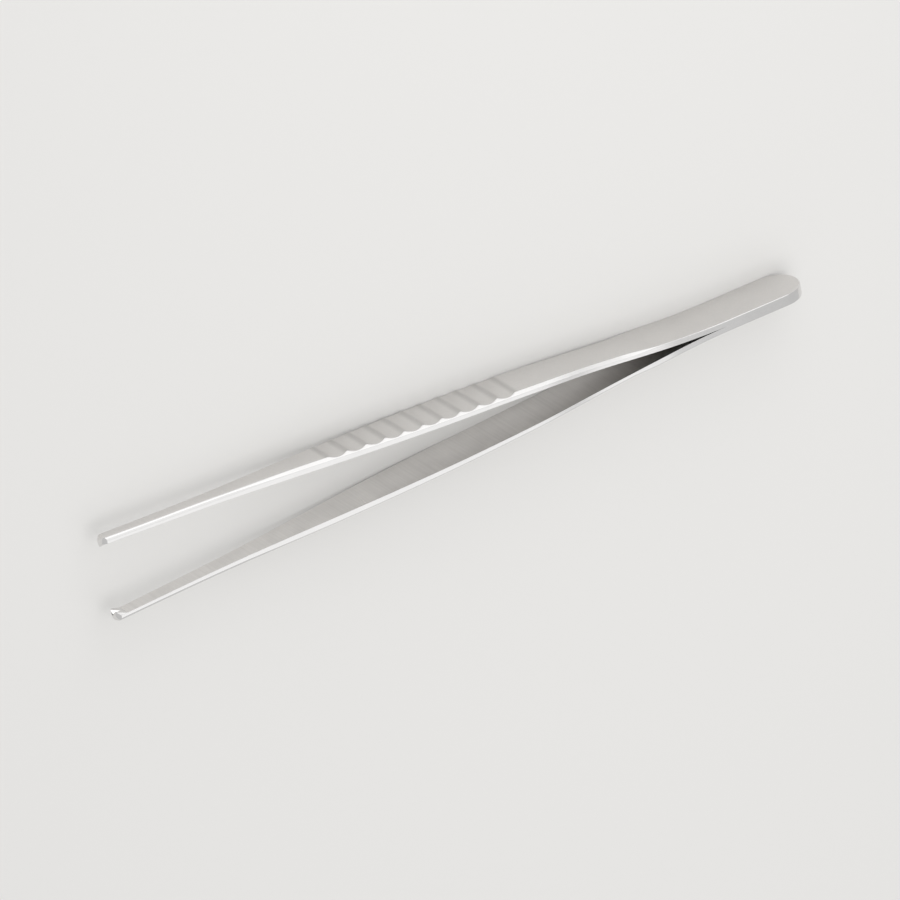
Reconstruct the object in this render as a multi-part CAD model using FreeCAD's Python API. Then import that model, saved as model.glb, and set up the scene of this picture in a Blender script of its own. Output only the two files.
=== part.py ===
"""Thumb forceps of the tissue kind, with one tooth that seats between two.

Two one-piece steel arms are welded face to face at the head and spring apart towards the jaws.
X runs from the head to the jaws, Y is the way the arms close, Z runs across their width.
The forceps lie on one edge, with the origin under the middle of them. Millimetres.
"""
import FreeCAD, Part

import math
import os

from FreeCAD import Vector

# Lengths along an arm, from the head end on
head_length = 29.0  # parallel-sided head, with its rounded end
waist_distance = 17.0  # from the head to the narrowest place
shoulder_distance = 12.0  # from the waist to the full width of the grip
full_width_length = 11.0  # parallel-sided part of the grip
upper_taper_length = 32.0  # from the full width to the middle of the taper
lower_taper_length = 28.0  # from the middle of the taper to the jaw
jaw_length = 17.0  # slim jaw, with its nose

# Half widths of an arm
head_half_width = 4.72
waist_half_width = 4.45
grip_half_width = 4.72
taper_half_width = 3.3
jaw_half_width = 1.66
nose_half_width = 1.45

# Side shape: where the arms part, how far apart they are and how thick
weld_length = 17.0
waist_half_gap = 2.1
grip_half_gap = 4.13
taper_half_gap = 5.75
tip_half_gap = 7.3
head_thickness = 1.1
waist_thickness = 1.15
grip_thickness = 1.42
taper_thickness = 1.5
tip_thickness = 1.2
jaw_angle = 3.0  # degrees between a jaw and the middle of the forceps

# Thumb grip: round-bottomed flutes across the outer face
flute_count = 10
flute_pitch = 3.83
flute_land = 0.3  # what is left between two flutes
flute_depth = 0.33
first_flute_distance = 3.5  # from the full width to the first flute

# Polished bevel along the outer edges: full from the waist to the taper, less on the head and the jaw
bevel_width = 0.72
bevel_height = 0.5
head_bevel_share = 0.25
jaw_bevel_share = 0.7
bevel_start_distance = 2.0  # from the head to where the bevel begins to grow
bevel_growth_length = 8.0

# Nose
nose_corner_radius = 1.25
nose_round = 0.9

# Teeth
tooth_length = 2.3
tooth_height = 0.95
crest_spacing = 1.9  # between the two teeth
crest_flat = 0.14
groove_depth = 0.85
tooth_clearance = 0.06  # round the one tooth when the jaws are closed

# Places along an arm
waist_place = head_length + waist_distance
shoulder_place = waist_place + shoulder_distance
taper_start = shoulder_place + full_width_length
taper_middle = taper_start + upper_taper_length
jaw_start = taper_middle + lower_taper_length
length = jaw_start + jaw_length
grip_start = shoulder_place + first_flute_distance
grip_middle = grip_start + flute_count * flute_pitch / 2
taper_place = (taper_middle + jaw_start) / 2
bevel_start = head_length + bevel_start_distance

ALONG = Vector(1, 0, 0)
AWAY = Vector(0, 1, 0)
ACROSS = Vector(0, 0, 1)
jaw_slope = math.radians(jaw_angle)
jaw_direction = Vector(math.cos(jaw_slope), math.sin(jaw_slope), 0)

# Tool solids reach this far past what they cut
margin = 2 * (head_half_width + tip_half_gap + tip_thickness)


def line(first, second):
    return Part.LineSegment(first, second).toShape()


def arc(centre, first, second):
    """A round corner between two points, bulging away from its centre."""
    middle = (first + second) / 2 - centre
    return Part.Arc(first, centre + middle.normalize() * (first - centre).Length, second).toShape()


def smooth(points, start, end):
    """One smooth curve through the points, which leaves and arrives in the given directions."""
    curve = Part.BSplineCurve()
    curve.interpolate(Points=points, InitialTangent=start, FinalTangent=end)
    return curve.toShape()


def outline_face(edges):
    return Part.Face(Part.Wire(Part.__sortEdges__(edges)))


def stations(gap_share, end):
    """The side shape at the weld, waist, grip and taper, on the inner face (0) or the outer face (1)."""
    return [
        Vector(weld_length, head_thickness * gap_share, 0),
        Vector(waist_place, waist_half_gap + waist_thickness * gap_share, 0),
        Vector(grip_middle, grip_half_gap + grip_thickness * gap_share, 0),
        Vector(taper_place, taper_half_gap + taper_thickness * gap_share, 0),
        end,
    ]


def inner_curve():
    return smooth(stations(0, Vector(length, tip_half_gap, 0)), ALONG, jaw_direction)


def nose_back():
    """Where the outer face ends and the round of the nose begins."""
    return Vector(length - nose_round * (1 + math.sin(jaw_slope)), tip_half_gap + tip_thickness, 0)


def outer_curve():
    return smooth(stations(1, nose_back()), ALONG, jaw_direction)


def side_blank():
    """The bent strip, still as wide as its tool: side shape of an arm drawn out across its width."""
    corner = Vector(0, head_thickness, 0)
    round_centre = nose_back() + Vector(math.sin(jaw_slope), -math.cos(jaw_slope), 0) * nose_round
    nose_front = round_centre + ALONG * nose_round
    edges = [
        line(Vector(), ALONG * weld_length),
        inner_curve(),
        line(Vector(length, tip_half_gap, 0), nose_front),
        arc(round_centre, nose_front, nose_back()),
        outer_curve(),
        line(Vector(weld_length, head_thickness, 0), corner),
        line(corner, Vector()),
    ]
    face = outline_face(edges)
    face.translate(-ACROSS * margin)
    return face.extrude(ACROSS * 2 * margin)


def edge_line():
    """One long edge of an arm seen from its outer face, from the round of the head to the nose."""
    shoulder = Vector(shoulder_place, 0, grip_half_width)
    full_width_end = Vector(taper_start, 0, grip_half_width)
    head_end = Vector(head_length, 0, head_half_width)
    jaw_back = Vector(jaw_start, 0, jaw_half_width)
    nose_corner = Vector(length - nose_corner_radius, 0, nose_half_width)
    waist = Vector(waist_place, 0, waist_half_width)
    taper = Vector(taper_middle, 0, taper_half_width)
    return [
        line(Vector(head_half_width, 0, head_half_width), head_end),
        smooth([head_end, waist, shoulder], ALONG, ALONG),
        line(shoulder, full_width_end),
        smooth([full_width_end, taper, jaw_back], ALONG, nose_corner - jaw_back),
        line(jaw_back, nose_corner),
    ]


def plan_tool():
    """Outline of an arm seen from its outer face, as a solid that trims the bent strip."""
    nose_flat = nose_half_width - nose_corner_radius
    corner_centre = Vector(length - nose_corner_radius, 0, nose_flat)
    nose_edge = corner_centre + ALONG * nose_corner_radius
    half = edge_line() + [arc(corner_centre, corner_centre + ACROSS * nose_corner_radius, nose_edge)]
    other_half = [edge.mirror(Vector(), ACROSS) for edge in half]
    head_top = Vector(head_half_width, 0, head_half_width)
    head_bottom = Vector(head_half_width, 0, -head_half_width)
    head_round = Part.Arc(head_top, Vector(), head_bottom).toShape()
    nose = line(nose_edge, Vector(length, 0, -nose_flat))
    face = outline_face(half + other_half + [head_round, nose])
    face.translate(-AWAY * margin)
    return face.extrude(AWAY * 2 * margin)


def reach(wire, place, direction):
    """The point at which a line across the arm, at the given place along it, meets a wire."""
    start = ALONG * place
    return wire.distToShape(line(start, start + direction * margin))[1][0][0]


def ease(place, start, end):
    """Nought before the start and one past the end, with a smooth rise between them."""
    share = min(max((place - start) / (end - start), 0.0), 1.0)
    return share ** 2 * (3 - 2 * share)


def bevel_share(place):
    """How much of the full bevel is cut at a place along an arm."""
    growth = (1 - head_bevel_share) * ease(place, bevel_start, bevel_start + bevel_growth_length)
    return head_bevel_share + growth - (1 - jaw_bevel_share) * ease(place, taper_middle, jaw_start)


def bevel_section(place):
    """Section of the bevel cutter: a triangle whose long side cuts the bevel at a place."""
    share = bevel_share(place)
    outer_face = Part.Wire([line(Vector(0, head_thickness, 0), Vector(weld_length, head_thickness, 0)),
                            outer_curve()])
    corner_away = reach(outer_face, place, AWAY).y
    corner_across = reach(Part.Wire(edge_line()), place, ACROSS).z
    middle = Vector(place, corner_away - share * bevel_height / 2, corner_across - share * bevel_width / 2)
    slant = (ACROSS * bevel_width - AWAY * bevel_height).normalize()
    outward = (ACROSS * bevel_height + AWAY * bevel_width).normalize()
    size = 2 * (bevel_width + bevel_height)
    points = [middle - slant * size, middle + slant * size, middle + outward * size]
    return Part.makePolygon(points + points[:1])


def bevel_cutters():
    """What takes the outer edges off: round the head end, then along both sides and past the nose."""
    head_ring = Part.Face(bevel_section(head_half_width)).revolve(ALONG * head_half_width, -AWAY, 180)
    section_count = 48
    first, last = head_half_width, length - nose_corner_radius
    step = (last - first) / (section_count - 1)
    sections = [bevel_section(first + step * index) for index in range(section_count)]
    sections.append(sections[-1].translated(ALONG * step))
    side = Part.makeLoft(sections, True)
    return [head_ring, side, side.mirror(Vector(), ACROSS)]


def flutes():
    """Round cutters across the outer face, one for each flute of the thumb grip."""
    half_chord = (flute_pitch - flute_land) / 2
    radius = (half_chord ** 2 + flute_depth ** 2) / (2 * flute_depth)
    edge = outer_curve()
    cutters = []
    for index in range(flute_count):
        place = grip_start + (index + 0.5) * flute_pitch
        surface = reach(Part.Wire([edge]), place, AWAY)
        tangent = edge.Curve.tangent(edge.Curve.parameter(surface))[0]
        outward = Vector(-tangent.y, tangent.x, 0).normalize()
        centre = surface + outward * (radius - flute_depth) - ACROSS * margin
        cutters.append(Part.makeCylinder(radius, 2 * margin, centre, ACROSS))
    return cutters


def tooth_block(section):
    """A tooth on the inner face at the nose: its section across the jaw, sloped down to the back."""
    back = length - tooth_length
    root = tip_half_gap + tip_thickness / 2
    base = [(section[-1][0], root), (section[0][0], root)]
    points = [Vector(back, depth, across) for across, depth in section + base]
    bar = Part.Face(Part.makePolygon(points + points[:1])).extrude(ALONG * tooth_length)
    back_face = reach(Part.Wire([inner_curve()]), back, AWAY).y
    slope = [Vector(back, root, -margin), Vector(back, back_face, -margin),
             Vector(length, tip_half_gap - tooth_height, -margin), Vector(length, root, -margin)]
    wedge = Part.Face(Part.makePolygon(slope + slope[:1])).extrude(ACROSS * 2 * margin)
    return bar.common(wedge)


def twin_teeth():
    """Two teeth side by side, with a V groove between them."""
    crest = tip_half_gap - tooth_height
    outer_crest = (crest_spacing + crest_flat) / 2
    inner_crest = (crest_spacing - crest_flat) / 2
    section = [(-nose_half_width, tip_half_gap), (-outer_crest, crest), (-inner_crest, crest),
               (0, crest + groove_depth), (inner_crest, crest), (outer_crest, crest),
               (nose_half_width, tip_half_gap)]
    return tooth_block(section)


def single_tooth():
    """One tooth in the middle, which seats in the groove between the other two."""
    crest = tip_half_gap - groove_depth + tooth_clearance
    foot = (crest_spacing - crest_flat) / 2 - tooth_clearance
    section = [(-foot, tip_half_gap), (-crest_flat / 2, crest), (crest_flat / 2, crest), (foot, tip_half_gap)]
    return tooth_block(section)


def arm(teeth):
    """One arm with its teeth, on the side of the middle that Y points to."""
    solid = side_blank().fuse(teeth).common(plan_tool())
    for cutter in bevel_cutters() + flutes():
        solid = solid.cut(cutter)
    return solid.removeSplitter().Solids[0]


def write(name, shape):
    """Put a finished piece in its place on the ground and save it."""
    shape.translate(ACROSS * max(head_half_width, grip_half_width) - ALONG * length / 2)
    shape.exportStep(f"parts/{name}.step")
    print(name, "valid" if shape.isValid() else "not valid", round(shape.Volume, 2), "mm3",
          len(shape.Faces), "faces")


os.makedirs("parts", exist_ok=True)
write("twin_tooth_arm", arm(twin_teeth()))
write("single_tooth_arm", arm(single_tooth()).mirror(Vector(), AWAY))
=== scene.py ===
"""Thumb forceps of the tissue kind, dressed in satin, brushed and polished steel on a pale floor.

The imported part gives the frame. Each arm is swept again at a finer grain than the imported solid, with
softened edges, and stands for its node. Lengths here are millimetres until a mesh is finished, save the
studio's, which are metres where their description says so.
"""

import logging
import math
from dataclasses import dataclass, field
from enum import Enum
from functools import cached_property
from typing import Any

import bmesh
import bpy
import numpy as np
from mathutils import Matrix, Vector


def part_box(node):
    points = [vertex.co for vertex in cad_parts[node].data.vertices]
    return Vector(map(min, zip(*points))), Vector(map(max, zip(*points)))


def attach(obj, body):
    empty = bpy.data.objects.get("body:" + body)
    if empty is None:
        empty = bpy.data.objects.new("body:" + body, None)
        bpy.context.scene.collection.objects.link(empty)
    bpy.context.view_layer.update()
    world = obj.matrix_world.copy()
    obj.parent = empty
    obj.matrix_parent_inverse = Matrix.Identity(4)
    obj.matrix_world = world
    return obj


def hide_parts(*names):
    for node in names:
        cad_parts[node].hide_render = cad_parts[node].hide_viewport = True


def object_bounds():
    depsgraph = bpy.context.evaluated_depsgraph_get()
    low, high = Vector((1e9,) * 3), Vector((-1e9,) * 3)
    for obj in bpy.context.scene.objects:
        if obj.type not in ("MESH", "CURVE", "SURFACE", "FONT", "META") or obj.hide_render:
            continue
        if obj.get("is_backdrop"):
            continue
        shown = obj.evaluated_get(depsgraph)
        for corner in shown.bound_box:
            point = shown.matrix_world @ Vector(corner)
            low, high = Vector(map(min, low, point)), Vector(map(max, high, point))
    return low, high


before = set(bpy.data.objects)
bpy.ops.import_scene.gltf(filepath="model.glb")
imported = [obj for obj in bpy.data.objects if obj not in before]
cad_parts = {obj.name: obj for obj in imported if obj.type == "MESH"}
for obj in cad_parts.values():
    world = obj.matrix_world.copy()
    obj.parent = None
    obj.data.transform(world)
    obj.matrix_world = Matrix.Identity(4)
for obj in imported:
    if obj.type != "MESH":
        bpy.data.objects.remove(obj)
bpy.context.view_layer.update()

MM = 0.001
# Vertices nearer than the first are merged and faces thinner than the second dissolved, in millimetres
MERGE, SPECK = 0.002, 0.001
# Where the points of a rounded corner lie along its curve, and the most of a side that it may take
ROUND_STEPS = (0, 0.25, 0.5, 0.75, 1)
LARGEST_CUT = 0.45
# Where the points between the bevel and the middle of the outer face lie
FLAT_STEPS = (0.06, 0.2, 0.4, 0.6, 0.8, 1.0)
logger = logging.getLogger("thumb_forceps")


class Side(Enum):
    """The side of the middle on which an arm lies."""

    UPPER = -1
    LOWER = 1


class Region(Enum):
    """The surfaces of an arm, by how each was finished. The value is its material's place."""

    OUTER = 0
    INNER = 1
    EDGE = 2


def linear(colour: str) -> tuple[float, float, float, float]:
    """Turn an sRGB hex colour into linear light.

    Args:
        colour: Six hex digits after a hash.

    Returns:
        Linear red, green and blue, with an alpha of one.
    """
    channels = [int(colour[i : i + 2], 16) / 255 for i in (1, 3, 5)]
    return (*[c / 12.92 if c <= 0.04045 else ((c + 0.055) / 1.055) ** 2.4 for c in channels], 1.0)


def add_node(
    tree: bpy.types.NodeTree, kind: str, settings: dict[str | int, Any] | None = None,
    links: dict[str | int, bpy.types.NodeSocket] | None = None,
) -> bpy.types.Node:
    """Add one node, with its settings and the links into it.

    Args:
        tree: The node tree that takes it.
        kind: Blender's name for the kind of node.
        settings: Values of its properties, or of its inputs where a key names or counts one.
        links: What feeds its inputs, as a socket for each input's name or number.

    Returns:
        The new node.
    """
    node = tree.nodes.new(kind)
    for name, value in (settings or {}).items():
        if isinstance(name, str) and hasattr(node, name):
            setattr(node, name, value)
        else:
            node.inputs[name].default_value = value
    for name, socket in (links or {}).items():
        tree.links.new(socket, node.inputs[name])
    return node


@dataclass(frozen=True, kw_only=True)
class SteelFinish:
    """One finish of the stainless steel.

    Attributes:
        name: The finish, as a polisher would call it.
        colour: Its reflected colour, as sRGB hex.
        roughness: How far it blurs what it reflects.
        spread: How far the roughness wanders over the surface, either way.
        shading: How far the colour wanders over the surface, as a share either way.
        grain: Spacing of the grain along X, Y and Z in millimetres.
        depth: Height of the grain in millimetres.
        cloud: Size of the soft clouds in millimetres.
        swell: Height of the long waves that hand polishing leaves, in millimetres.
        wave: Length of those waves in millimetres.
    """

    name: str
    colour: str
    roughness: float
    spread: float
    shading: float
    grain: tuple[float, float, float]
    depth: float
    cloud: float = 6.0
    swell: float = 0.0
    wave: float = 8.0

    def tone(
        self, tree: bpy.types.NodeTree, place: bpy.types.NodeSocket, level: bpy.types.NodeSocket
    ) -> bpy.types.NodeSocket:
        """Change how bright the colour is from place to place, which a plain finish doesn't do.

        Args:
            tree: The material's node tree.
            place: The place on the object.
            level: The brightness so far.

        Returns:
            The socket with the brightness.
        """
        return level

    def material(self) -> bpy.types.Material:
        """Build the finish as a metal whose grain moves its colour and roughness and bumps it a little.

        Returns:
            The material, which reads places on the object itself.
        """
        made = bpy.data.materials.new(self.name)
        made.use_nodes = True
        tree = made.node_tree
        tree.nodes.clear()
        place = add_node(tree, "ShaderNodeTexCoord").outputs["Object"]
        scale = tuple(1 / (spacing * MM) for spacing in self.grain)
        stretched = add_node(tree, "ShaderNodeMapping", {"Scale": scale}, {"Vector": place})
        grain = add_node(
            tree, "ShaderNodeTexNoise", {"Scale": 1.0, "Detail": 3.0, "Roughness": 0.6},
            {"Vector": stretched.outputs["Vector"]},
        )
        cloud = add_node(
            tree, "ShaderNodeTexNoise", {"Scale": 1 / (self.cloud * MM), "Detail": 4.0, "Roughness": 0.55},
            {"Vector": place},
        )
        both = add_node(
            tree, "ShaderNodeMath", {"operation": "ADD"}, {0: grain.outputs["Fac"], 1: cloud.outputs["Fac"]},
        )
        # The two noises, each from nought to one, mostly add up to this range
        wander = {"From Min": 0.6, "From Max": 1.4}
        rough = add_node(
            tree, "ShaderNodeMapRange",
            {**wander, "To Min": self.roughness + self.spread, "To Max": self.roughness - self.spread},
            {"Value": both.outputs["Value"]},
        )
        level = add_node(
            tree, "ShaderNodeMapRange", {**wander, "To Min": 1 - self.shading, "To Max": 1 + self.shading},
            {"Value": both.outputs["Value"]},
        )
        colour = add_node(
            tree, "ShaderNodeVectorMath", {"operation": "SCALE", "Vector": linear(self.colour)[:3]},
            {"Scale": self.tone(tree, place, level.outputs["Result"])},
        )
        wave = add_node(
            tree, "ShaderNodeTexNoise", {"Scale": 1 / (self.wave * MM), "Detail": 1.0}, {"Vector": place},
        )
        swollen = add_node(
            tree, "ShaderNodeBump", {"Strength": 1.0, "Distance": self.swell * MM},
            {"Height": wave.outputs["Fac"]},
        )
        bump = add_node(
            tree, "ShaderNodeBump", {"Strength": 1.0, "Distance": self.depth * MM},
            {"Height": grain.outputs["Fac"], "Normal": swollen.outputs["Normal"]},
        )
        shader = add_node(
            tree, "ShaderNodeBsdfPrincipled", {"Metallic": 1.0},
            {"Base Color": colour.outputs["Vector"], "Roughness": rough.outputs["Result"],
             "Normal": bump.outputs["Normal"]},
        )
        add_node(tree, "ShaderNodeOutputMaterial", links={"Surface": shader.outputs["BSDF"]})
        return made


@dataclass(frozen=True, kw_only=True)
class RidgeShadePaintedFinish(SteelFinish):
    """A satin finish with painted shade: its colour is darker along the ridges between flutes, in place of
    the shade that falls on the flutes' walls.

    Attributes:
        first_ridge: X of the ridge nearest the head, in millimetres.
        pitch: Distance from one ridge to the next.
        flutes: How many flutes there are.
        reach: How far from a ridge the painted shade reaches.
        painted_shade: Share of the colour that the painted shade takes away on a ridge.
    """

    first_ridge: float
    pitch: float
    flutes: int
    reach: float
    painted_shade: float

    def tone(
        self, tree: bpy.types.NodeTree, place: bpy.types.NodeSocket, level: bpy.types.NodeSocket
    ) -> bpy.types.NodeSocket:
        """Paint shade into the colour along the ridges.

        Args:
            tree: The material's node tree.
            place: The place on the object.
            level: The brightness so far.

        Returns:
            The socket with the brightness.
        """
        along = add_node(tree, "ShaderNodeSeparateXYZ", links={"Vector": place}).outputs["X"]
        past_first = add_node(
            tree, "ShaderNodeMath", {"operation": "SUBTRACT", 1: self.first_ridge * MM}, {0: along}
        )
        from_ridge = add_node(
            tree, "ShaderNodeMath", {"operation": "PINGPONG", 1: self.pitch / 2 * MM},
            {0: past_first.outputs["Value"]},
        )
        # Painted shade: a share of the colour taken away, most on each ridge and none at the reach
        lost = add_node(
            tree, "ShaderNodeMapRange",
            {"interpolation_type": "SMOOTHSTEP", "From Max": self.reach * MM, "To Min": self.painted_shade,
             "To Max": 0.0},
            {"Value": from_ridge.outputs["Value"]},
        )
        half = self.flutes * self.pitch / 2
        on_grip = add_node(
            tree, "ShaderNodeMath",
            {"operation": "COMPARE", 1: (self.first_ridge + half) * MM, 2: (half + self.reach) * MM},
            {0: along},
        )
        # The painted shade, kept to the grip
        painted_shade_here = add_node(
            tree, "ShaderNodeMath", {"operation": "MULTIPLY"},
            {0: lost.outputs["Result"], 1: on_grip.outputs["Value"]},
        )
        return add_node(
            tree, "ShaderNodeMath", {"operation": "SUBTRACT"}, {0: level, 1: painted_shade_here.outputs["Value"]}
        ).outputs["Value"]


@dataclass(frozen=True)
class Spline:
    """A smooth curve through stations along the arm, with a stated slope at each end.

    Attributes:
        places: Distances along the arm.
        values: What the curve is at those places.
        start: Slope at the first place.
        end: Slope at the last place.
    """

    places: tuple[float, ...]
    values: tuple[float, ...]
    start: float = 0.0
    end: float = 0.0

    @cached_property
    def slopes(self) -> np.ndarray:
        """Solve for the slopes that leave the curve with no jump in its bend.

        Returns:
            The slope at each station.
        """
        count = len(self.places)
        steps = np.diff(self.places)
        rises = np.diff(self.values) / steps
        system, known = np.eye(count), np.zeros(count)
        known[0], known[-1] = self.start, self.end
        for i in range(1, count - 1):
            before, after = steps[i - 1], steps[i]
            system[i, i - 1 : i + 2] = after, 2 * (before + after), before
            known[i] = 3 * (after * rises[i - 1] + before * rises[i])
        return np.linalg.solve(system, known)

    def at(self, place: float) -> float:
        """Give the curve's value at a place.

        Args:
            place: Distance along the arm.

        Returns:
            The value, which is held level before the first station.
        """
        if place <= self.places[0]:
            return self.values[0]
        i = min(int(np.searchsorted(self.places, place)) - 1, len(self.places) - 2)
        step = self.places[i + 1] - self.places[i]
        t = (place - self.places[i]) / step
        blends = (
            2 * t**3 - 3 * t**2 + 1, (t**3 - 2 * t**2 + t) * step,
            3 * t**2 - 2 * t**3, (t**3 - t**2) * step,
        )
        parts = (self.values[i], self.slopes[i], self.values[i + 1], self.slopes[i + 1])
        return float(sum(blend * part for blend, part in zip(blends, parts)))


def ease(place: float, start: float, end: float) -> float:
    """Rise smoothly from nought to one.

    Args:
        place: Distance along the arm.
        start: Where the rise begins.
        end: Where it is done.

    Returns:
        Nought before the start, one past the end, and a share between them.
    """
    share = min(max((place - start) / (end - start), 0.0), 1.0)
    return share**2 * (3 - 2 * share)


def soft_max(first: float, second: float, reach: float) -> float:
    """Give the larger of two heights, with the corner between them filled in a round.

    Args:
        first: One height.
        second: The other height.
        reach: How far apart they are where the round ends.

    Returns:
        The larger height, or a little more near the corner.
    """
    overlap = max(reach - abs(first - second), 0.0) / reach
    return max(first, second) + overlap**2 * reach / 4


@dataclass(frozen=True)
class Outline:
    """Half widths of an arm, seen from its outer face.

    Attributes:
        head: Half width of the parallel-sided head.
        nose: Half width at the nose's corners.
        spring: Half width from the head over the waist to the grip.
        taper: Half width from the grip down to the jaw.
        length: Length of the arm.
        corner: Radius of the nose's corners.
    """

    head: float = 4.72
    nose: float = 1.45
    spring: Spline = Spline((29.0, 46.0, 58.0), (4.72, 4.45, 4.72))
    taper: Spline = Spline((69.0, 101.0, 129.0), (4.72, 3.3, 1.66), end=-0.0133)
    length: float = 146.0
    corner: float = 1.25

    def straight(self, place: float) -> float:
        """Give the half width with the nose left square.

        Args:
            place: Distance along the arm.

        Returns:
            The half width there.
        """
        if place < self.taper.places[0]:
            return self.spring.at(min(place, self.spring.places[-1]))
        jaw = (self.taper.places[-1], self.length - self.corner)
        if place < jaw[0]:
            return self.taper.at(place)
        return float(np.interp(place, jaw, (self.taper.values[-1], self.nose)))

    def rounded(self, place: float) -> float:
        """Give the half width with the nose's corners rounded.

        Args:
            place: Distance along the arm.

        Returns:
            The half width there.
        """
        past = max(0.0, place - (self.length - self.corner))
        lost = self.corner - math.sqrt(max(0.0, self.corner**2 - past**2))
        return self.straight(place) - lost


@dataclass(frozen=True)
class ThumbGrip:
    """Round-bottomed flutes across the outer face.

    Attributes:
        start: Where the first flute begins.
        count: How many flutes there are.
        pitch: Distance from one flute to the next.
        land: What is left of the outer face between two flutes.
        depth: How deep a flute is cut.
        reach: How far to either side of a flute's middle the face's slope is read.
    """

    start: float = 61.5
    count: int = 10
    pitch: float = 3.83
    land: float = 0.3
    depth: float = 0.33
    reach: float = 0.5

    def radius(self) -> float:
        """Give the radius of the cutter."""
        half = (self.pitch - self.land) / 2
        return (half**2 + self.depth**2) / (2 * self.depth)

    def floor(self, place: float, surface: Spline) -> float:
        """Give the height of the cutter's lowest point over a place.

        Args:
            place: Distance along the arm.
            surface: The outer face before it is cut.

        Returns:
            The height above the middle of the forceps, or infinity where no flute reaches.
        """
        index = min(max(int((place - self.start) / self.pitch), 0), self.count - 1)
        centre = self.start + (index + 0.5) * self.pitch
        rise = surface.at(centre + self.reach) - surface.at(centre - self.reach)
        slope = math.atan(rise / (2 * self.reach))
        lift = self.radius() - self.depth
        across = place - (centre - math.sin(slope) * lift)
        if abs(across) >= self.radius():
            return math.inf
        return surface.at(centre) + math.cos(slope) * lift - math.sqrt(self.radius() ** 2 - across**2)


# Stainless steel, blasted and then satin polished: a soft grey with no grain lines in it, only faint clouds,
# and with painted shade in bands along the flutes' ridges
SATIN_STEEL = RidgeShadePaintedFinish(
    name="satin_stainless_steel_with_painted_ridge_shade", colour="#DFDDDB", roughness=0.36, spread=0.05, shading=0.035,
    grain=(0.3, 0.3, 0.3), depth=0.002, first_ridge=-11.4, pitch=ThumbGrip.pitch, flutes=ThumbGrip.count,
    reach=1.0, painted_shade=0.2,
)
# Stainless steel, linished across the width: fine lines, drawn some five times as coarse as they are
BRUSHED_STEEL = SteelFinish(
    name="cross_brushed_stainless_steel", colour="#E4E2E0", roughness=0.34, spread=0.08, shading=0.07,
    grain=(0.35, 5.0, 16.0), depth=0.003,
)
# Stainless steel, buffed along the edges: bright, with long shallow waves and hardly a mark
POLISHED_STEEL = SteelFinish(
    name="polished_stainless_steel", colour="#E3E2E1", roughness=0.15, spread=0.03, shading=0.02,
    grain=(3.0, 0.4, 0.4), depth=0.0008, swell=0.018,
)


@dataclass(frozen=True)
class Teeth:
    """The teeth on the inner face at an arm's nose.

    Attributes:
        section: Their shape across half the jaw, as distance from its middle and height above the face.
        lines: Distances from the middle at which the inner face has points along the arm.
        length: How far they slope down to the back.
        height: How high they stand at the nose.
        reach: How far the rounds between their faces go.
        blur: How far to either side the section is averaged, which dulls its corners.
    """

    section: tuple[tuple[float, float], ...]
    lines: tuple[float, ...]
    length: float = 2.3
    height: float = 0.95
    reach: float = 0.12
    blur: float = 0.03

    def rise(self, before_nose: float, across: float) -> float:
        """Give how far the teeth rise over the inner face.

        Args:
            before_nose: Distance to the front of the nose.
            across: Distance from the middle of the jaw.

        Returns:
            The height, or zero where there is no tooth.
        """
        if before_nose > self.length + self.reach:
            return 0.0
        slope = self.height * (1 - before_nose / self.length)
        nearby = (across - self.blur, across, across + self.blur)
        shape = float(np.interp(nearby, *zip(*self.section)).mean())
        return soft_max(0.0, -soft_max(-slope, -shape, self.reach), self.reach)


# Two teeth side by side with a V groove between them, and the one tooth that seats in the groove
TWIN_TEETH = Teeth(
    section=((0.0, 0.1), (0.88, 0.95), (1.02, 0.95), (1.45, 0.0)),
    lines=(
        0.0, 0.05, 0.15, 0.27, 0.4, 0.53, 0.66, 0.78, 0.86, 0.91, 0.95, 0.99, 1.04, 1.12, 1.2, 1.27, 1.34,
    ),
)
SINGLE_TOOTH = Teeth(
    section=((0.0, 0.79), (0.07, 0.79), (0.82, 0.0), (1.45, 0.0)),
    lines=(
        0.0, 0.03, 0.07, 0.11, 0.2, 0.31, 0.42, 0.53, 0.64, 0.74, 0.82, 0.88, 0.94, 1.02, 1.12, 1.23, 1.34,
    ),
)


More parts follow.
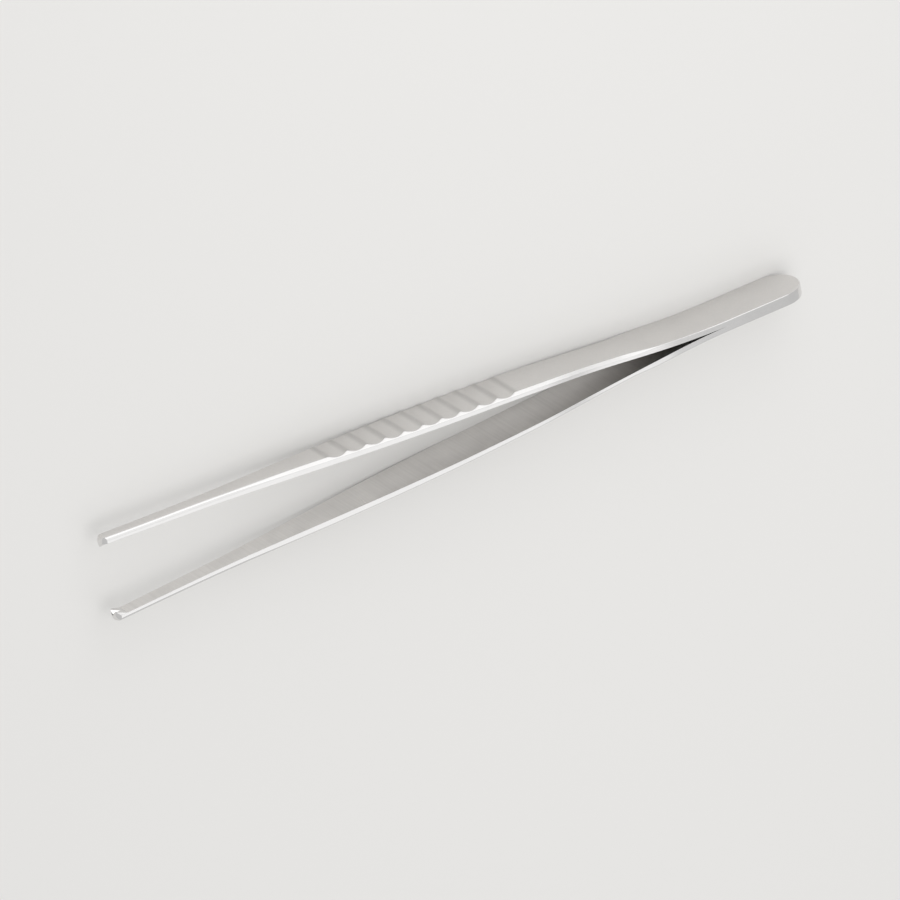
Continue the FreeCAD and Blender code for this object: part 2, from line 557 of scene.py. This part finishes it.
@dataclass(frozen=True)
class Arm:
    """One arm of the forceps, from the welded head to the nose.

    Attributes:
        node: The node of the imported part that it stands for.
        side: The side of the middle on which it lies.
        teeth: What it carries at its nose.
        outline: Its shape seen from the outer face.
        grip: Its flutes.
        inner: Height of the inner face over the middle of the forceps.
        outer: Height of the outer face over the middle of the forceps.
        nose_round: Radius from the outer face to the front of the nose.
        bevel: Width and height of the full bevel along the outer edges.
        head_bevel: Share of the full bevel on the head, and where it begins and ends to grow.
        jaw_bevel: Share of the full bevel on the jaw, and where it begins and ends to fade.
        crown: How far the outer face drops to its edges on the jaw.
        softness: How far the edges are softened beside the weld, along the arm and on the jaw.
        weld: Where the weld ends, and where the inner edges are as soft as the others.
        ridge_softness: Step of the five places over which the outer face's height is averaged.
        least_flat: Least share of the half width that the bevel leaves flat.
        least_bevel: Least height that a flute leaves of the bevel.
        largest_soft: Largest share of the half width that an inner edge's softness takes.
        wide_step: Distance between sections where the arm is plain.
        close_step: Distance between sections on the teeth.
        margin: How far the close sections reach past the flutes and the teeth.
        flute_steps: Sections to a flute.
        corner_steps: Sections round the nose's corners.
        head_steps: Steps round the head's end.
    """

    node: str
    side: Side
    teeth: Teeth
    outline: Outline = field(default_factory=Outline)
    grip: ThumbGrip = field(default_factory=ThumbGrip)
    inner: Spline = Spline((17.0, 46.0, 80.65, 115.0, 146.0), (0.0, 2.1, 4.13, 5.75, 7.3), end=0.0524)
    outer: Spline = Spline((17.0, 46.0, 80.65, 115.0, 145.05), (1.1, 3.25, 5.55, 7.25, 8.5), end=0.0524)
    nose_round: float = 0.9
    bevel: tuple[float, float] = (0.72, 0.5)
    head_bevel: tuple[float, float, float] = (0.25, 31.0, 39.0)
    jaw_bevel: tuple[float, float, float] = (0.7, 101.0, 129.0)
    crown: float = 0.18
    softness: tuple[float, float, float] = (0.03, 0.11, 0.4)
    weld: tuple[float, float] = (17.0, 24.0)
    ridge_softness: float = 0.03
    least_flat: float = 0.3
    least_bevel: float = 0.02
    largest_soft: float = 0.4
    wide_step: float = 1.0
    close_step: float = 0.07
    margin: float = 0.3
    flute_steps: int = 24
    corner_steps: int = 22
    head_steps: int = 40

    def stations(self) -> list[float]:
        """List the places of the sections: close together on the grip and the nose, wide elsewhere.

        Returns:
            Distances along the arm, from the head's round end to the nose.
        """
        nose, corner = self.outline.length, self.outline.corner
        flutes_start = self.grip.start - self.margin
        flutes_end = self.grip.start + self.grip.count * self.grip.pitch + self.margin
        teeth_start = nose - self.teeth.length - self.margin
        turns = np.linspace(0, math.pi / 2, self.corner_steps)
        places = [
            *np.arange(self.outline.head, flutes_start - self.margin, self.wide_step),
            *np.arange(flutes_start, flutes_end, self.grip.pitch / self.flute_steps),
            *np.arange(flutes_end + self.margin, teeth_start - self.margin, self.wide_step),
            *np.arange(teeth_start, nose - corner - self.close_step / 2, self.close_step),
            *(nose - corner * (1 - np.sin(turns))),
        ]
        return sorted(float(place) for place in places)

    def bevel_share(self, place: float) -> float:
        """Give how much of the full bevel there is.

        Args:
            place: Distance along the arm.

        Returns:
            A share of the bevel's full width and height.
        """
        head, *growth = self.head_bevel
        jaw, *fade = self.jaw_bevel
        return head + (1 - head) * ease(place, *growth) - (1 - jaw) * ease(place, *fade)

    def outer_height(self, place: float) -> float:
        """Give the height of the outer face, with the flutes' ridges softened and the nose rounded.

        Args:
            place: Distance along the arm.

        Returns:
            The height over the middle of the forceps.
        """
        if place < self.outer.places[-1]:
            nearby = [place + step * self.ridge_softness for step in (-2, -1, 0, 1, 2)]
            heights = [min(self.outer.at(near), self.grip.floor(near, self.outer)) for near in nearby]
            return sum(heights) / len(heights)
        centre = self.outer.values[-1] - self.nose_round * math.cos(math.atan(self.outer.end))
        past = place - (self.outline.length - self.nose_round)
        return centre + math.sqrt(max(0.0, self.nose_round**2 - past**2))

    def inner_height(self, place: float, across: float) -> float:
        """Give the height of the inner face, teeth included.

        Args:
            place: Distance along the arm.
            across: Distance from the middle of the face.

        Returns:
            The height over the middle of the forceps.
        """
        before_nose = self.outline.length - place
        height = self.inner.at(place) - self.teeth.rise(before_nose, across)
        soft = self.softness[1]
        past = max(0.0, soft - before_nose)
        return height + soft - math.sqrt(max(0.0, soft**2 - past**2))

    @staticmethod
    def soften(before: Vector, corner: Vector, after: Vector, softness: float) -> list[Vector]:
        """Round one corner of a section.

        Args:
            before: The point before the corner.
            corner: The sharp corner.
            after: The point after the corner.
            softness: How far from the corner the round begins.

        Returns:
            The points on the round, from one side of the corner to the other.
        """
        cut = min(softness, LARGEST_CUT * (before - corner).length, LARGEST_CUT * (after - corner).length)
        first = corner + (before - corner).normalized() * cut
        last = corner + (after - corner).normalized() * cut
        return [first * (1 - t) ** 2 + corner * 2 * t * (1 - t) + last * t**2 for t in ROUND_STEPS]

    def bevel_corners(self, place: float) -> tuple[Vector, Vector]:
        """Give the corners of the bevel before they are softened.

        Args:
            place: Distance along the arm.

        Returns:
            The lower corner, on the arm's side, and the upper one, on its outer face.
        """
        half, top = self.outline.rounded(place), self.outer_height(place)
        width, height = (size * self.bevel_share(place) for size in self.bevel)
        on_nose = place > self.outline.length - self.nose_round
        uncut = top if on_nose else max(self.outer.at(place), top)
        inset = max(half - width * (1 - (uncut - top) / height), self.least_flat * half)
        low = min(uncut - height, top - self.least_bevel)
        return Vector((place, low, half)), Vector((place, top, inset))

    def half_section(self, place: float) -> list[Vector]:
        """Give half the section, from the middle of the inner face round to the middle of the outer one.

        Args:
            place: Distance along the arm.

        Returns:
            The points in order. Every section has as many.
        """
        half, full = self.outline.rounded(place), self.outline.straight(place)
        low, high = self.bevel_corners(place)
        weld, plain, jaw = self.softness
        on_jaw = ease(place, *self.jaw_bevel[1:])
        inner_soft = weld + (plain - weld) * ease(place, *self.weld)
        outer_soft = plain + (jaw - plain) * on_jaw
        widest = half - min(inner_soft, self.largest_soft * half)
        reach = (full - inner_soft) / self.teeth.lines[-1]
        inner_line = [Vector((place, 0.0, min(line * reach, widest))) for line in self.teeth.lines]
        for point in inner_line:
            point.y = self.inner_height(place, point.z)
        edge = Vector((place, self.inner_height(place, half), half))
        middle = Vector((place, high.y, 0.0))
        corners = self.soften(inner_line[-1], edge, low, inner_soft)
        corners += self.soften(edge, low, high, outer_soft) + self.soften(low, high, middle, outer_soft)
        flat = [corners[-1].lerp(middle, step) for step in FLAT_STEPS]
        on_bevel = corners[-2 * len(ROUND_STEPS) :]
        for point in on_bevel + flat:
            point.y -= self.crown * on_jaw * (point.z / half) ** 2
        return inner_line + corners + flat

    def section(self, place: float) -> list[Vector]:
        """Give the whole closed section.

        Args:
            place: Distance along the arm.

        Returns:
            The points in order, each once.
        """
        half = self.half_section(place)
        mirrored = [Vector((p.x, p.y, -p.z)) for p in reversed(half[1:-1])]
        return half + mirrored

    @staticmethod
    def ring_edges(shape: bmesh.types.BMesh, ring: list[bmesh.types.BMVert]) -> list[bmesh.types.BMEdge]:
        """List the edges round a closed ring of vertices."""
        return [shape.edges.get((ring[i - 1], ring[i])) for i in range(len(ring))]

    def sweep(self, shape: bmesh.types.BMesh) -> None:
        """Extrude the section from station to station and close the nose.

        Args:
            shape: The mesh that takes the sweep.
        """
        places = self.stations()
        first = self.section(places[0])
        ring = bmesh.ops.create_circle(shape, segments=len(first), radius=1.0)["verts"]
        for vertex, point in zip(ring, first):
            vertex.co = point
        edges = self.ring_edges(shape, ring)
        for place in places[1:]:
            made = bmesh.ops.extrude_edge_only(shape, edges=edges)["geom"]
            fresh = {item for item in made if isinstance(item, bmesh.types.BMVert)}
            ring = [next(e.other_vert(v) for e in v.link_edges if e.other_vert(v) in fresh) for v in ring]
            for vertex, point in zip(ring, self.section(place)):
                vertex.co = point
            edges = self.ring_edges(shape, ring)
        bmesh.ops.holes_fill(shape, edges=edges, sides=0)

    def spin_head(self, shape: bmesh.types.BMesh) -> None:
        """Spin half the head's section round its middle, for the rounded end.

        Args:
            shape: The mesh that takes the round end.
        """
        points = self.half_section(self.outline.head)
        chain = [shape.verts.new(point) for point in points]
        edges = [shape.edges.new(pair) for pair in zip(chain, chain[1:])]
        bmesh.ops.spin(
            shape, geom=chain + edges, cent=(self.outline.head, 0.0, 0.0), axis=(0.0, -1.0, 0.0),
            angle=math.pi, steps=self.head_steps, use_merge=False, use_duplicate=False,
        )

    def mesh(self) -> bpy.types.Mesh:
        """Build the arm in its place, with each face marked with its finish.

        Returns:
            The mesh, in metres.
        """
        low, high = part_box(self.node)
        shape = bmesh.new()
        self.sweep(shape)
        self.spin_head(shape)
        bmesh.ops.remove_doubles(shape, verts=shape.verts, dist=MERGE)
        bmesh.ops.dissolve_degenerate(shape, edges=shape.edges, dist=SPECK)
        self.mark(shape)
        bmesh.ops.scale(shape, vec=(MM, MM * self.side.value, MM), verts=shape.verts)
        bmesh.ops.translate(shape, vec=(low.x, 0.0, (low.z + high.z) / 2), verts=shape.verts)
        bmesh.ops.recalc_face_normals(shape, faces=shape.faces)
        made = bpy.data.meshes.new(f"{self.node}_steel")
        shape.to_mesh(made)
        shape.free()
        return made

    def mark(self, shape: bmesh.types.BMesh) -> None:
        """Shade every face smoothly and mark it with its finish.

        Args:
            shape: The arm's mesh, before it is put in its place.
        """
        corners: dict[float, tuple[Vector, Vector]] = {}
        for face in shape.faces:
            centre = face.calc_center_median()
            place = round(max(centre.x, self.outline.head), 4)
            if place not in corners:
                corners[place] = self.bevel_corners(place)
            face.smooth = True
            face.material_index = self.region(centre, *corners[place]).value

    def region(self, centre: Vector, low: Vector, high: Vector) -> Region:
        """Tell which surface a face belongs to.

        Args:
            centre: The face's middle, before the arm is put in its place.
            low: The bevel's lower corner there.
            high: The bevel's upper corner there.

        Returns:
            The outer face with its flutes, the inner face, or the edges and teeth.
        """
        across = math.hypot(min(centre.x - self.outline.head, 0.0), centre.z)
        if centre.y > low.y and across < high.z:
            return Region.OUTER
        above, beside = 0.1, 0.06
        near_face = centre.y < self.inner.at(centre.x) + above and across < low.z - beside
        on_teeth = centre.x > self.outline.length - self.teeth.length
        return Region.INNER if near_face and not on_teeth else Region.EDGE

    def build(self, finishes: dict[Region, bpy.types.Material]) -> bpy.types.Object:
        """Make the arm's piece, dress it and let it stand for its node.

        Args:
            finishes: The material of each region.

        Returns:
            The finished piece.
        """
        piece = bpy.data.objects.new(f"{self.node}_finished", self.mesh())
        bpy.context.scene.collection.objects.link(piece)
        for region in Region:
            piece.data.materials.append(finishes[region])
        weighted = piece.modifiers.new("even_shading", "WEIGHTED_NORMAL")
        weighted.weight = 50
        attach(piece, "root")
        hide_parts(self.node)
        return piece


@dataclass(frozen=True)
class Softbox:
    """A rectangular soft light that faces the line along which the object lies.

    Attributes:
        name: Its name.
        place: Where its middle hangs, in metres.
        size: Its width and height in metres.
        brightness: How bright its face is, where one is white.
        mirrored: Whether steel mirrors it, or it only lights the floor.
    """

    name: str
    place: tuple[float, float, float]
    size: tuple[float, float]
    brightness: float
    mirrored: bool = True

    def build(self) -> bpy.types.Object:
        """Hang the light, turned about X towards the object.

        Returns:
            The light.
        """
        light = bpy.data.lights.new(self.name, "AREA")
        light.shape = "RECTANGLE"
        light.size, light.size_y = self.size
        # A matt face of brightness one gives pi watts a square metre
        light.energy = math.pi * self.brightness * self.size[0] * self.size[1]
        made = bpy.data.objects.new(self.name, light)
        made.location = self.place
        towards_object = Vector((0.0, -self.place[1], -self.place[2]))
        made.rotation_euler = towards_object.to_track_quat("-Z", "Y").to_euler()
        made.visible_camera = False
        made.visible_glossy = self.mirrored
        bpy.context.scene.collection.objects.link(made)
        return made


@dataclass(frozen=True)
class Studio:
    """The pale floor, the soft lights and the camera.

    Attributes:
        floor_colour: Colour of the floor, as sRGB hex.
        floor_size: Side of the floor in metres.
        sky: Strength of the even light from all round.
        lights: The softboxes.
        middle: The point of the forceps that the framing starts from, in millimetres.
        shift_right: From there to the middle of the picture, to the right, in millimetres.
        shift_up: From there to the middle of the picture, upwards, in millimetres.
        right: The way to the right of the picture.
        up: The way to the top of the picture.
        distance: From the object to the camera, in metres.
        view_width: Width of the picture at the object, in millimetres.
    """

    floor_colour: str = "#E3E2E0"
    floor_size: float = 6.0
    sky: float = 0.65
    lights: tuple[Softbox, ...] = (
        Softbox("overhead_softbox", (0.35, 0.0, 1.6), (1.2, 1.2), 1.7, mirrored=False),
        Softbox("back_softbox", (-0.068, 0.160, 0.289), (0.232, 0.2), 0.48),
        Softbox("top_softbox", (-0.082, -0.057, 0.325), (0.25, 0.24), 0.4),
        Softbox("front_softbox", (-0.092, -0.245, 0.221), (0.28, 0.24), 0.45),
        Softbox("low_softbox", (-0.098, -0.32, 0.1), (0.296, 0.16), 0.64),
    )
    middle: tuple[float, float, float] = (0.5, 0.0, 4.72)
    shift_right: float = -0.183
    shift_up: float = -3.394
    right: tuple[float, float, float] = (-0.8424, 0.1637, 0.5134)
    up: tuple[float, float, float] = (-0.3619, -0.8777, -0.3140)
    distance: float = 5.0
    view_width: float = 160.1

    def build_floor(self) -> bpy.types.Object:
        """Lay a plain floor under the lowest point of the object.

        Returns:
            The floor.
        """
        shape = bmesh.new()
        bmesh.ops.create_grid(shape, x_segments=1, y_segments=1, size=self.floor_size / 2)
        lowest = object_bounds()[0].z
        bmesh.ops.translate(shape, vec=(0.0, 0.0, lowest), verts=shape.verts)
        made = bpy.data.meshes.new("floor")
        shape.to_mesh(made)
        shape.free()
        floor = bpy.data.objects.new("floor", made)
        bpy.context.scene.collection.objects.link(floor)
        paper = bpy.data.materials.new("matt_paper")
        paper.use_nodes = True
        shader = paper.node_tree.nodes["Principled BSDF"]
        shader.inputs["Base Color"].default_value = linear(self.floor_colour)
        shader.inputs["Roughness"].default_value = 0.9
        shader.inputs["Specular IOR Level"].default_value = 0.1
        made.materials.append(paper)
        floor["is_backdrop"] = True
        return floor

    def build_sky(self) -> None:
        """Light the scene evenly from all round."""
        world = bpy.data.worlds.new("studio")
        world.use_nodes = True
        background = world.node_tree.nodes["Background"]
        background.inputs["Color"].default_value = (1.0, 1.0, 1.0, 1.0)
        background.inputs["Strength"].default_value = self.sky
        bpy.context.scene.world = world

    def build_camera(self) -> bpy.types.Object:
        """Set up the long lens that sees the object as the photograph does.

        Returns:
            The camera, which is the scene's own.
        """
        right = Vector(self.right).normalized()
        back = right.cross(Vector(self.up)).normalized()
        turn = Matrix((right, back.cross(right), back)).transposed()
        aim = Vector(self.middle) + turn @ Vector((self.shift_right, self.shift_up, 0.0))
        lens = bpy.data.cameras.new("camera")
        lens.sensor_width = 36.0
        lens.lens = lens.sensor_width * self.distance / (self.view_width * MM)
        lens.clip_end = 20.0
        made = bpy.data.objects.new("camera", lens)
        made.matrix_world = Matrix.Translation(aim * MM + back * self.distance) @ turn.to_4x4()
        bpy.context.scene.collection.objects.link(made)
        bpy.context.scene.camera = made
        return made


def main() -> None:
    """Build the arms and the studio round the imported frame."""
    logging.basicConfig(level=logging.INFO, format="%(message)s")
    logger.info("frame with nodes %s", ", ".join(sorted(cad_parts)))
    finishes = {
        Region.OUTER: SATIN_STEEL.material(),
        Region.INNER: BRUSHED_STEEL.material(),
        Region.EDGE: POLISHED_STEEL.material(),
    }
    for arm in (
        Arm("single_tooth_arm", Side.UPPER, SINGLE_TOOTH),
        Arm("twin_tooth_arm", Side.LOWER, TWIN_TEETH),
    ):
        piece = arm.build(finishes)
        logger.info("%s has %d faces", piece.name, len(piece.data.polygons))
    studio = Studio()
    logger.info("%s is %.1f m wide", studio.build_floor().name, studio.floor_size)
    studio.build_sky()
    for light in studio.lights:
        logger.info("%s gives %.3f W", light.name, light.build().data.energy)
    logger.info("%s is %.1f m away", studio.build_camera().name, studio.distance)
    bpy.context.scene.view_settings.view_transform = "Standard"


if __name__ == "__main__":
    main()
